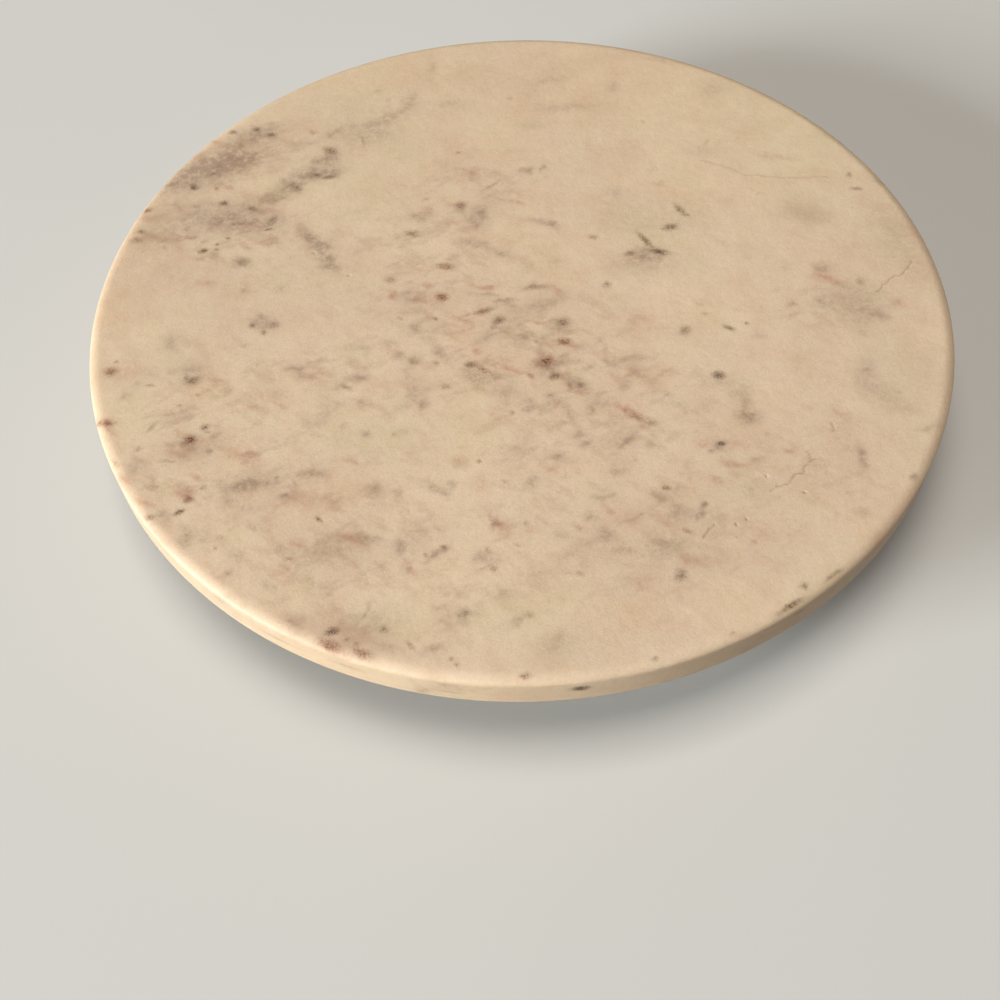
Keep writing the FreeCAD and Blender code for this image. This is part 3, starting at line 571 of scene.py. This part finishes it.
def paint_marks(mesh):
    """Stores each kind of mark on the turntable's mesh as one number per vertex."""
    points = coordinates(mesh) / MM
    depth = points[:, 2].max() - points[:, 2]
    fade = np.exp(-(depth / FADE_DEPTH) ** 2)
    pink, grey, core = all_strokes()

    x, y = pushed(points, depth, [(6, 1.8), (2.2, 1.1)])
    store(mesh, "grey", np.maximum(clouds(x, y, GREY_CLOUDS), spots(x, y, grey)) * fade)
    store(mesh, "pink", np.maximum(clouds(x, y, PINK_CLOUDS), spots(x, y, pink)) * fade)
    store(mesh, "flecks", clouds(x, y, FLECK_ZONES) * fade)
    store(mesh, "sage", clouds(x, y, SAGE_ZONES))
    store(mesh, "buff", clouds(x, y, BUFF_ZONES))
    store(mesh, "mauve", clouds(x, y, MAUVE_ZONES))

    x, y = pushed(points, depth, [(3, .5), (1.2, .3)])
    store(mesh, "dark", np.maximum(spots(x, y, DARK_SPECKS) * fade, rim_marks(points, depth)))
    store(mesh, "rust", spots(x, y, RUST_SPOTS + core) * fade)
    # painted shade: how far down the rim's side the colour is darkened, standing in for shade on the
    # rim
    store(mesh, "side", np.clip((depth - SIDE_SHADE_STARTS) / SIDE_SHADE_GROWS, 0, 1) * (depth < SLAB))
    store(mesh, "known", np.exp(-(depth / KNOWN_FADE) ** 2) * (depth < KNOWN_DEPTH))


def sink_damage(mesh):
    """Opens the cracks and pits in the upper face, and stores how near each vertex is."""
    points = coordinates(mesh) / MM
    top = points[:, 2].max()
    sizes = [(2.2, .5), (.9, .25)]
    push = wandering(points, sizes)
    x, y = points[:, 0] + push[:, 0], points[:, 1] + push[:, 1]
    crack, pit = to_lines(x, y, CRACKS), to_pits(x, y)
    on_face = points[:, 2] > top - .01
    open_wide = .5 + .5 * push[:, 2] / sum(amount for _, amount in sizes)
    sunk = CRACK_SIZE[0] * np.exp(-(crack / CRACK_SIZE[1]) ** 2) * open_wide
    sunk += PIT_SIZE[0] * np.exp(-(pit / PIT_SIZE[1]) ** 2)
    points[:, 2] -= sunk * on_face
    mesh.vertices.foreach_set("co", (points * MM).ravel())
    store(mesh, "hairline", np.exp(-(to_lines(x, y, HAIRLINES) / .5) ** 2) * on_face)
    store(mesh, "open", np.exp(-(np.minimum(crack, pit) / .4) ** 2) * on_face)


# ---------------------------------------------------------------- materials


class Shader:
    """A node material being wired up: a Principled surface and the nodes that feed it."""

    def __init__(self, name, **constants):
        self.material = bpy.data.materials.new(name)
        self.material.use_nodes = True
        self.tree = self.material.node_tree
        self.surface = self.tree.nodes["Principled BSDF"]
        for key, value in constants.items():
            self.surface.inputs[key.replace("_", " ")].default_value = value
        self.place = self.node("ShaderNodeTexCoord").outputs["Object"]

    def node(self, kind, **settings):
        node = self.tree.nodes.new(kind)
        for key, value in settings.items():
            setattr(node, key, value)
        return node

    def feed(self, socket, value):
        """Links an output to the socket, or sets the socket's constant."""
        if isinstance(value, bpy.types.NodeSocket):
            self.tree.links.new(value, socket)
        else:
            socket.default_value = value

    def attribute(self, name):
        return self.node("ShaderNodeAttribute", attribute_name=name).outputs["Fac"]

    def noise(self, size, detail=3, roughness=.55, stretch=(1, 1, 1), turn=0):
        """Smooth noise, 0 to 1, whose features are about size metres across, drawn out by
        stretch along axes that are turned about Z by turn degrees."""
        place = self.node("ShaderNodeMapping", vector_type="TEXTURE")
        self.feed(place.inputs["Vector"], self.place)
        place.inputs["Scale"].default_value = stretch
        place.inputs["Rotation"].default_value = (0, 0, math.radians(turn))
        texture = self.node("ShaderNodeTexNoise")
        self.feed(texture.inputs["Vector"], place.outputs["Vector"])
        texture.inputs["Scale"].default_value = 1 / size
        texture.inputs["Detail"].default_value = detail
        texture.inputs["Roughness"].default_value = roughness
        return texture.outputs["Fac"]

    def cells(self, size):
        """One random tone, 0 to 1, for each grain of about size metres."""
        texture = self.node("ShaderNodeTexVoronoi")
        self.feed(texture.inputs["Vector"], self.place)
        texture.inputs["Scale"].default_value = 1 / size
        return texture.outputs["Color"]

    def sum(self, operation, first, second, third=0, clamp=False):
        node = self.node("ShaderNodeMath", operation=operation, use_clamp=clamp)
        for socket, value in zip(node.inputs, (first, second, third)):
            self.feed(socket, value)
        return node.outputs[0]

    def span(self, value, low, high, from_low=0, from_high=1, soft=False):
        """Maps from_low..from_high to low..high, held at both ends."""
        kind = "SMOOTHSTEP" if soft else "LINEAR"
        node = self.node("ShaderNodeMapRange", interpolation_type=kind)
        for key, number in (("Value", value), ("From Min", from_low), ("From Max", from_high),
                            ("To Min", low), ("To Max", high)):
            self.feed(node.inputs[key], number)
        return node.outputs["Result"]

    def mix(self, factor, first, second, blend="MIX"):
        node = self.node("ShaderNodeMix", data_type="RGBA", blend_type=blend)
        self.feed(node.inputs["Factor"], factor)
        self.feed(node.inputs["A"], first)
        self.feed(node.inputs["B"], second)
        return node.outputs["Result"]

    def tint(self, colour, mask, shade):
        """Multiplies the colour by the shade where the mask is 1."""
        return self.mix(mask, colour, (*shade, 1), "MULTIPLY")

    def bump(self, height, depth, below=None):
        node = self.node("ShaderNodeBump")
        node.inputs["Distance"].default_value = depth
        self.feed(node.inputs["Height"], height)
        if below is not None:
            self.feed(node.inputs["Normal"], below)
        return node.outputs["Normal"]

    def finish(self, colour=None, roughness=None, normal=None):
        for key, value in (("Base Color", colour), ("Roughness", roughness), ("Normal", normal)):
            if value is not None:
                self.feed(self.surface.inputs[key], value)
        return self.material


def marble():
    """Honed cream marble: cloudy cream body, mauve-grey clouds, brown specks, fine crystals."""
    stone = Shader("marble", Subsurface_Weight=.16, Subsurface_Scale=.008,
                   Specular_IOR_Level=.35)
    stone.surface.inputs["Subsurface Radius"].default_value = (1, .6, .3)
    mottle = stone.noise(.009, 5, .62)
    crystals, fine = stone.cells(.0008), stone.noise(.0005, 2)

    # away from the stored marks, drifting noise takes their place
    drift = stone.noise(.035, 4, .6)
    unknown = stone.sum("SUBTRACT", 1, stone.attribute("known"))
    elsewhere = stone.sum("MULTIPLY", stone.span(drift, 0, .7, .56, .72), unknown)

    colour = marble_body(stone, mottle)
    colour = marble_clouds(stone, colour, elsewhere)
    colour = marble_flecks(stone, colour, elsewhere)
    colour = marble_specks(stone, colour, elsewhere)
    colour = stone.tint(colour, stone.span(crystals, 0, 1, 0, 1), (.945, .94, .93))
    colour = stone.tint(colour, stone.span(fine, 0, 1, .3, .7), (.93, .92, .91))

    roughness = stone.sum("MULTIPLY_ADD", mottle, .14, .5)
    peel = stone.bump(stone.noise(.004, 3), .00012)
    surface = stone.bump(stone.sum("ADD", fine, crystals), .00002, peel)
    return stone.finish(colour, roughness, surface)


def marble_body(stone, mottle):
    """The ground: two creams, zones of hue, mottling, layers that show on the rim, and painted shade
    that darkens the rim's side.
    """
    broad = stone.noise(.04, 3)
    colour = stone.mix(stone.span(broad, 0, 1, .3, .7), (.70, .54, .378, 1), (.665, .51, .365, 1))
    for zone, shade in (("sage", (.965, .995, .955)), ("buff", (.985, .955, .925)),
                        ("mauve", (.955, .945, .965))):
        colour = stone.tint(colour, stone.attribute(zone), shade)
    colour = stone.tint(colour, stone.span(mottle, .9, 0, .3, .7), (.945, .93, .915))
    blush = stone.noise(.024, 4, .6)
    colour = stone.tint(colour, stone.span(blush, 0, 1, .5, .72), (.955, .905, .89))
    colour = stone.tint(colour, stone.span(blush, 1, 0, .3, .46), (.955, .975, .935))
    layers = stone.noise(.02, 4, .6, (1, 1, .11))
    colour = stone.tint(colour, stone.span(layers, 0, .8, .5, .75), (.95, .91, .86))
    # painted shade: the rim's side is darkened and browned all the way round, standing in for the
    # shade on its unlit part
    return stone.tint(colour, stone.attribute("side"), (.91, .865, .81))


def marble_clouds(stone, colour, elsewhere):
    """Grey and pink clouds, broken up by noise that is finer than they are."""
    broken = stone.noise(.0028, 6, .75)
    grey = stone.sum("MAXIMUM", stone.attribute("grey"), elsewhere)
    grey_mask = stone.sum("MULTIPLY", grey, stone.span(broken, .55, 2.0, .36, .66), clamp=True)
    colour = stone.tint(colour, grey_mask, (.60, .555, .555))
    pink = stone.sum("MULTIPLY", stone.attribute("pink"), stone.span(broken, 2.1, .4, .34, .64))
    return stone.tint(colour, stone.sum("MINIMUM", pink, 1), (.82, .68, .66))


def marble_flecks(stone, colour, elsewhere):
    """Slanting flecks that are too small and many to place."""
    zone = stone.sum("MAXIMUM", stone.attribute("flecks"), elsewhere)
    for size, slope, shade in ((.007, -35, (.74, .63, .58)), (.006, 25, (.70, .64, .65))):
        fleck = stone.noise(size, 5, .66, (2, 1, 1), slope)
        mask = stone.sum("MULTIPLY", stone.span(fleck, 0, 1, .52, .68), zone)
        colour = stone.tint(colour, mask, shade)
    return colour


def marble_specks(stone, colour, elsewhere):
    """Dark and rusty specks made of grains, each darkest at its heart, and the fine damage."""
    gritty = stone.span(stone.noise(.0008, 5, .78), .55, 1.45, .34, .66)
    stray = stone.sum("MULTIPLY", stone.span(stone.noise(.006, 4, .6), 0, 1, .66, .78), elsewhere)
    dark = stone.sum("MAXIMUM", stone.attribute("dark"), stray)
    for specks, shade, heart in ((dark, (.38, .32, .28), (.60, .56, .54)),
                                 (stone.attribute("rust"), (.42, .27, .21), (.58, .50, .48))):
        specks = stone.sum("MULTIPLY", specks, gritty)
        colour = stone.tint(colour, stone.span(specks, 0, 1, .05, 1.15, soft=True), shade)
        colour = stone.tint(colour, stone.span(specks, 0, 1, .8, 1.25, soft=True), heart)
    for damage, strength, shade in (("hairline", .3, (.6, .5, .45)), ("open", .4, (.5, .4, .33))):
        mask = stone.sum("MULTIPLY", stone.attribute(damage), strength)
        colour = stone.tint(colour, mask, shade)
    return colour


def plated_steel():
    """Zinc-plated sheet: soft blotches of tone, rolling lines and handling scuffs."""
    steel = Shader("plated_steel", Metallic=1)
    blotch = steel.noise(.012, 4, .6)
    colour = steel.mix(steel.span(blotch, 0, 1, .3, .7), (.70, .71, .72, 1), (.60, .62, .64, 1))
    lines = steel.noise(.0007, 3, .6, (1, 30, 1))
    scuffs = steel.noise(.004, 6, .75)
    colour = steel.tint(colour, steel.span(scuffs, 0, .5, .55, .75), (.80, .79, .77))
    roughness = steel.sum("MULTIPLY_ADD", lines, .18, steel.span(scuffs, .25, .42, .3, .7))
    return steel.finish(colour, roughness, steel.bump(lines, .00001))


def fastener_steel():
    steel = Shader("fastener_steel", Metallic=1)
    cast = steel.noise(.006, 4, .6)
    colour = steel.mix(steel.span(cast, 0, 1, .3, .7), (.66, .66, .63, 1), (.56, .57, .58, 1))
    fine = steel.noise(.0004, 3, .6)
    colour = steel.tint(colour, steel.span(fine, 0, .5, .5, .8), (.7, .69, .66))
    return steel.finish(colour, steel.span(fine, .22, .42, .3, .7), steel.bump(fine, .000008))


def ball_steel():
    """Polished steel with the faint haze that running in leaves."""
    steel = Shader("ball_steel", Metallic=1)
    haze = steel.noise(.0015, 4, .6)
    colour = steel.mix(steel.span(haze, 0, 1, .3, .7), (.74, .74, .75, 1), (.66, .66, .67, 1))
    return steel.finish(colour, steel.span(haze, .06, .16, .3, .7))


def nylon():
    """Natural nylon: milky, a little yellow, moulded matt."""
    plastic = Shader("nylon", Subsurface_Weight=.3, Subsurface_Scale=.002)
    cloud = plastic.noise(.01, 3)
    colour = plastic.mix(plastic.span(cloud, 0, 1, .3, .7), (.80, .77, .69, 1), (.72, .69, .60, 1))
    grain = plastic.noise(.0003, 3, .6)
    return plastic.finish(colour, plastic.span(cloud, .38, .52, .3, .7),
                          plastic.bump(grain, .000015))


def rubber():
    """Moulded black rubber with a matt grain and a little dust."""
    black = Shader("rubber", Specular_IOR_Level=.35)
    grain = black.noise(.0004, 4, .65)
    dust = black.noise(.005, 5, .7)
    colour = black.mix(black.span(dust, 0, 1, .5, .8), (.022, .022, .023, 1), (.06, .057, .053, 1))
    return black.finish(colour, black.span(dust, .62, .85, .3, .7), black.bump(grain, .00004))


# ---------------------------------------------------------------- small pieces


def lathe(form, profile, sides, centre):
    """Turns a closed (radius, height) outline, anticlockwise in section, round a vertical axis."""
    rings = [form.ring(circle(radius, height, sides, centre)) for radius, height in profile]
    form.rows(rings + rings[:1])


def foot_profile(height, top_radius, bottom_radius):
    """Section of a moulded foot: rounded edges, two grooves round it and two in its sole."""
    lip, bore, recess, wall = .5 * MM, 2.8 * MM, 6.5 * MM, 3 * MM
    groove, sole_groove = .45 * MM, .6 * MM
    edge = 1.2 * MM
    lean = (top_radius - bottom_radius) / height

    def side(z, inset=0.0):
        return bottom_radius + lean * z - inset - SKIN, z

    outer = [side(height - SKIN, lip), side(height - .25 * lip, .3 * lip), side(height - lip)]
    for middle in (.68, .42):
        z = middle * height
        outer += [side(z + groove), side(z + .7 * groove, .7 * groove), side(z, groove)]
        outer += [side(z - .7 * groove, .7 * groove), side(z - groove)]
    rounded_edge = []
    for step in range(7):
        turn = math.pi / 2 * step / 6
        rounded_edge.append((bottom_radius - edge * (1 - math.cos(turn)) + lean * edge - SKIN,
                             edge * (1 - math.sin(turn)) + SKIN))
    sole = []
    for radius in (9.4 * MM, 7.8 * MM):
        half = .35 * MM
        sole += [(radius + half, SKIN), (radius + .7 * half, .8 * sole_groove),
                 (radius, sole_groove), (radius - .7 * half, .8 * sole_groove),
                 (radius - half, SKIN)]
    shelf = height - wall
    inner = [(recess + .3 * MM, SKIN), (recess, .3 * MM), (recess, shelf - .3 * MM),
             (recess - .3 * MM, shelf), (bore + .3 * MM, shelf), (bore, shelf + .3 * MM),
             (bore, height - SKIN)]
    return outer + rounded_edge + sole + inner


def rubber_foot(corner, material):
    node = f"foot_{corner}"
    low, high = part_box(node)
    centre = ((low.x + high.x) / 2, (low.y + high.y) / 2)
    form = Form()
    profile = foot_profile(high.z - low.z, (high.x - low.x) / 2, FOOT_SOLE_RADIUS)
    lathe(form, profile, 72, centre)
    piece = object_from(form.mesh(f"rubber_{node}"), material, 50)
    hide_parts(node)
    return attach(piece, "base")


def cross_depth(x, y, half_span, half_slot, depth):
    """Depth of a cross recess with sloping walls at a point of the screw head."""
    arm = max(abs(x), abs(y))
    off = min(abs(x), abs(y))
    slot = half_slot * (1 - .25 * arm / half_span)
    wall = min(max((slot - off) / (.5 * half_slot), 0), 1)
    end = min(max((half_span - arm) / (.35 * half_span), 0), 1)
    return depth * wall * end


def screw_head(form, centre, low, radius, height, sides):
    """A pan head, face down, with its cross recess. Returns the ring under its bearing face."""
    rings = []
    face_rings, edge = 26, 1.1 * MM
    flat = radius - edge
    half_cross, half_slot, cross_deep = .5 * radius, .13 * radius, .55 * height
    middle = None
    for step in range(face_rings + 1):
        r = flat * step / face_rings
        points = []
        for x, y, _ in circle(r, 0, sides):
            points.append((centre[0] + x, centre[1] + y,
                           low + cross_depth(x, y, half_cross, half_slot, cross_deep)))
        if step == 0:
            middle = form.ring([(centre[0], centre[1], points[0][2])])[0]
        else:
            rings.append(form.ring(points))
    for here in range(sides):
        form.faces.append((middle, rings[0][(here + 1) % sides], rings[0][here]))
    for step in range(1, 7):
        turn = math.pi / 2 * step / 6
        rings.append(form.ring(circle(flat + edge * math.sin(turn), low + edge * (1 - math.cos(turn)),
                                      sides, centre)))
    rings.append(form.ring(circle(radius, low + height - .1 * MM, sides, centre)))
    rings.append(form.ring(circle(radius - .1 * MM, low + height, sides, centre)))
    form.rows(rings[::-1])
    return rings[-1]


def threaded_shank(form, centre, start, start_ring, radius, length, pitch, depth, sides):
    """A shank with a helical thread, tapering to its end, joined to the ring at its start."""
    steps = int(length / pitch * 10)
    rings = [start_ring]
    for step in range(steps + 1):
        z = length * step / steps
        taper = min(1, (length - z) / (2 * depth) + .45)
        grown = min(1, z / pitch)
        points = []
        for side in range(sides):
            turn = 2 * math.pi * side / sides
            phase = (z / pitch - side / sides) % 1
            crest = max(0, 1 - abs(phase - .5) / .38)
            r = (radius - depth * (1 - crest * grown)) * taper
            points.append((centre[0] + r * math.cos(turn), centre[1] + r * math.sin(turn), start + z))
        rings.append(form.ring(points))
    form.rows(rings[::-1])
    tip = form.ring([(centre[0], centre[1], start + length)])[0]
    last = rings[-1]
    for here in range(sides):
        form.faces.append((tip, last[here], last[(here + 1) % sides]))


def screw_set(node, body, material, head_radius, head_height, radius, pitch, depth):
    """Detailed screws in place of the CAD node's four, head down."""
    low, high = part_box(node)
    form = Form()
    sides = 48
    reach = high.x - head_radius
    for sign_x, sign_y in ((-1, -1), (1, -1), (1, 1), (-1, 1)):
        centre = (sign_x * reach, sign_y * reach)
        collar = screw_head(form, centre, low.z + SKIN, head_radius - SKIN, head_height, sides)
        start = low.z + head_height
        threaded_shank(form, centre, start, collar, radius, high.z - start - SKIN, pitch, depth, sides)
    piece = object_from(form.mesh(f"{node}_detailed"), material, 50)
    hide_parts(node)
    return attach(piece, body)


# ---------------------------------------------------------------- the object


def turntable(stone):
    mesh = stone_disc("marble_top", "turntable_top", TOP_ARRIS, TOP_CELLS, *ANCHOR_HOLE)
    refine(mesh, near_marks)
    refine(mesh, near_damage)
    refine(mesh, near_damage)
    paint_marks(mesh)
    sink_damage(mesh)
    piece = object_from(mesh, stone)
    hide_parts("turntable_top")
    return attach(piece, "turntable")


def base(stone):
    mesh = stone_disc("marble_base", "base_disc", UNDER_ARRIS, BASE_CELLS, BASE_HOLE_RADIUS, None)
    piece = object_from(mesh, stone)
    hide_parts("base_disc")
    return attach(piece, "base")


def finish_cad_nodes(materials):
    """Gives every CAD node that still shows the material of its slot."""
    for part in frame["record"]["subparts"]:
        node = frame["nodes"][part["node"]]
        node.data.materials.clear()
        node.data.materials.append(materials[part["material_slot"]])


# ---------------------------------------------------------------- stage, light and camera


def floor():
    """A wide pale floor under the feet."""
    form = Form()
    edge = form.ring(circle(FLOOR_RADIUS, 0, 96))
    form.flat([edge], facing_up=True)
    pale = Shader("floor_paint", Roughness=.8)
    tone = pale.noise(.4, 2)
    colour = pale.mix(pale.span(tone, 0, 1, .3, .7), (.56, .545, .52, 1), (.54, .525, .50, 1))
    piece = object_from(form.mesh("floor"), pale.finish(colour))


def area_light(name, azimuth_degrees, elevation, distance, size, power, colour):
    """A square lamp that looks at the object from the given direction."""
    lamp = bpy.data.lights.new(name, "AREA")
    lamp.size = size
    lamp.energy = power
    lamp.color = colour
    turn, rise = math.radians(azimuth_degrees), math.radians(elevation)
    away = Vector((math.cos(turn) * math.cos(rise), math.sin(turn) * math.cos(rise), math.sin(rise)))
    piece = bpy.data.objects.new(name, lamp)
    piece.location = Vector((0, 0, .04)) + distance * away
    piece.rotation_euler = away.to_track_quat("Z", "Y").to_euler()
    bpy.context.scene.collection.objects.link(piece)


def lights():
    area_light("key", azimuth_degrees=207, elevation=14, distance=7, size=2.2, power=930,
               colour=(.89, .97, 1))
    area_light("overhead", azimuth_degrees=200, elevation=84, distance=4, size=2.1, power=124,
               colour=(1, .95, .88))
    world = bpy.data.worlds.new("studio")
    world.use_nodes = True
    tree = world.node_tree
    surroundings = tree.nodes["Background"]
    surroundings.inputs["Color"].default_value = (1, .86, .72, 1)
    surroundings.inputs["Strength"].default_value = .02
    backdrop = tree.nodes.new("ShaderNodeBackground")
    backdrop.inputs["Color"].default_value = (.84, .83, .81, 1)
    seen = tree.nodes.new("ShaderNodeLightPath").outputs["Is Camera Ray"]
    choose = tree.nodes.new("ShaderNodeMixShader")
    for socket, output in zip(choose.inputs, (seen, surroundings.outputs[0], backdrop.outputs[0])):
        tree.links.new(output, socket)
    tree.links.new(choose.outputs[0], tree.nodes["World Output"].inputs["Surface"])
    bpy.context.scene.world = world
    bpy.context.scene.view_settings.view_transform = "Standard"


def camera():
    """The viewpoint: near, high and in front, with a slight tilt of the camera."""
    height, back = 312.8 * MM, 302.1 * MM
    yaw, pitch, roll = (math.radians(angle) for angle in (-1.8028, 55.6526, -2.3097))
    lens = bpy.data.cameras.new("camera")
    lens.sensor_width = 36
    lens.lens = 43.04
    lens.clip_start = .01
    forward = Vector((math.sin(yaw) * math.cos(pitch), math.cos(yaw) * math.cos(pitch),
                      -math.sin(pitch)))
    level = Vector((math.cos(yaw), -math.sin(yaw), 0))
    upright = level.cross(forward)
    right = level * math.cos(roll) + upright * math.sin(roll)
    up = upright * math.cos(roll) - level * math.sin(roll)
    piece = bpy.data.objects.new("camera", lens)
    place = Matrix((right, up, -forward)).transposed().to_4x4()
    place.translation = Vector((0, -back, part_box("turntable_top")[1].z + height))
    piece.matrix_world = place
    bpy.context.scene.collection.objects.link(piece)
    bpy.context.scene.camera = piece


def build():
    materials = {make.__name__: make() for make in
                 (marble, plated_steel, fastener_steel, ball_steel, nylon, rubber)}
    finish_cad_nodes(materials)
    turntable(materials["marble"])
    base(materials["marble"])
    for corner in CORNER_NAMES:
        rubber_foot(corner, materials["rubber"])
    screws = materials["fastener_steel"]
    screw_set("base_screws", "base", screws, **BASE_SCREW)
    screw_set("top_screws", "turntable", screws, **TOP_SCREW)
    floor()
    lights()
    camera()


build()
bpy.context.view_layer.update()
